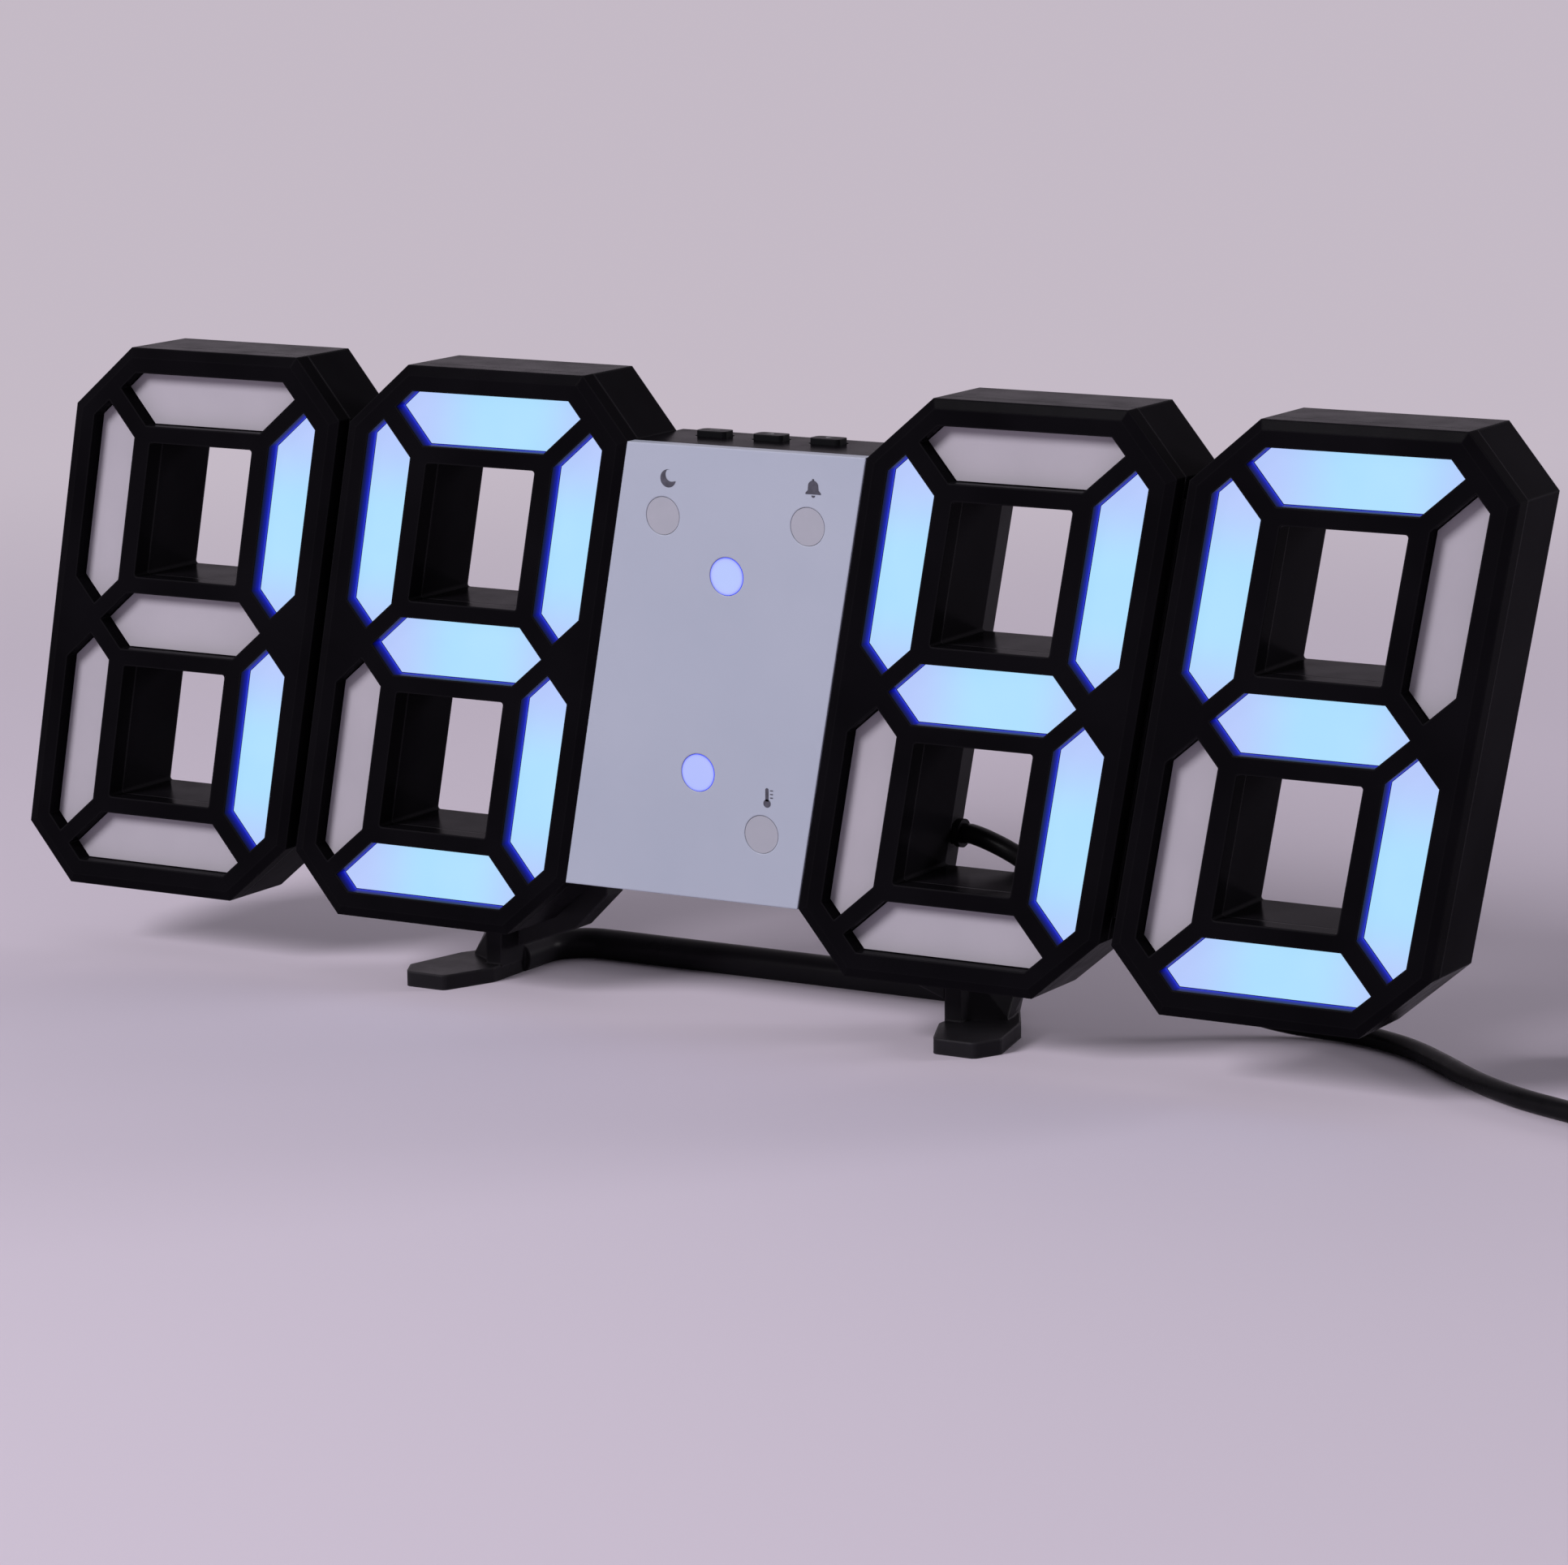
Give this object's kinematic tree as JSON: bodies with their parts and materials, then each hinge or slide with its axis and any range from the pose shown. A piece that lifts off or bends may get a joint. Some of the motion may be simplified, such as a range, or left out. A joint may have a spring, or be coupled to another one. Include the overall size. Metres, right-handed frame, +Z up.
{
  "type": "led wall clock",
  "caption": "Three-dimensional LED clock of hollow leaning seven-segment digits around a centre block, on a folding stand, with a fixed power lead.",
  "frame": {"origin": "on the floor, under the middle of the clock and its unfolded stand", "axes": "+X to the clock's right as seen from the front, +Y to the back, +Z up; the display looks along -Y"},
  "size_m": [0.3223, 0.0531, 0.09],
  "materials": {
    "black_shell": "satin",
    "lens_lit": "frosted",
    "lens_unlit": "frosted",
    "panel_grey": "matte",
    "button_black": "matte",
    "dark_plastic": "matte",
    "board_green": "satin",
    "led_white": "gloss",
    "steel": "plain",
    "cord_black": "gloss"
  },
  "bodies": {
    "case": {"digit_frame_1": "black_shell", "digit_frame_2": "black_shell", "digit_frame_3": "black_shell", "digit_frame_4": "black_shell", "digit_back_1": "black_shell", "digit_back_2": "black_shell", "digit_back_3": "black_shell", "digit_back_4": "black_shell", "segment_1a": "lens_unlit", "segment_1b": "lens_lit", "segment_1c": "lens_lit", "segment_1d": "lens_unlit", "segment_1e": "lens_unlit", "segment_1f": "lens_unlit", "segment_1g": "lens_unlit", "segment_2a": "lens_lit", "segment_2b": "lens_lit", "segment_2c": "lens_lit", "segment_2d": "lens_lit", "segment_2e": "lens_unlit", "segment_2f": "lens_lit", "segment_2g": "lens_lit", "segment_3a": "lens_unlit", "segment_3b": "lens_lit", "segment_3c": "lens_lit", "segment_3d": "lens_unlit", "segment_3e": "lens_unlit", "segment_3f": "lens_lit", "segment_3g": "lens_lit", "segment_4a": "lens_lit", "segment_4b": "lens_unlit", "segment_4c": "lens_lit", "segment_4d": "lens_lit", "segment_4e": "lens_unlit", "segment_4f": "lens_lit", "segment_4g": "lens_lit", "centre_frame": "black_shell", "centre_panel": "panel_grey", "colon_lenses": "lens_lit", "indicator_lenses": "lens_unlit", "button_switches": "dark_plastic", "rear_cover": "black_shell", "main_board": "board_green", "led_boards": "board_green", "leds": "led_white", "buzzer": "dark_plastic", "backup_cell": "steel", "case_screws": "steel", "hinge_pins": "steel", "cord_grommet": "cord_black", "cord": "cord_black", "cord_coil": "cord_black", "cord_tie": "dark_plastic", "usb_plug": "dark_plastic", "usb_shell": "steel"},
    "set_key": {"set_button": "button_black"},
    "up_key": {"up_button": "button_black"},
    "down_key": {"down_button": "button_black"},
    "stand": {"stand": "black_shell"}
  },
  "joints": [
    {"name": "set_press", "type": "slide", "parent": "case", "child": "set_key", "axis": [0, 0, -1], "range_m": [0, 0.0005], "stiffness_N_per_m": 300},
    {"name": "up_press", "type": "slide", "parent": "case", "child": "up_key", "axis": [0, 0, -1], "range_m": [0, 0.0005], "stiffness_N_per_m": 300},
    {"name": "down_press", "type": "slide", "parent": "case", "child": "down_key", "axis": [0, 0, -1], "range_m": [0, 0.0005], "stiffness_N_per_m": 300},
    {"name": "stand_fold", "type": "hinge", "parent": "case", "child": "stand", "pos_m": [-0.00705, -0.0048, 0.0127], "axis": [1, 0, 0], "range_deg": [0, 90]}
  ]
}
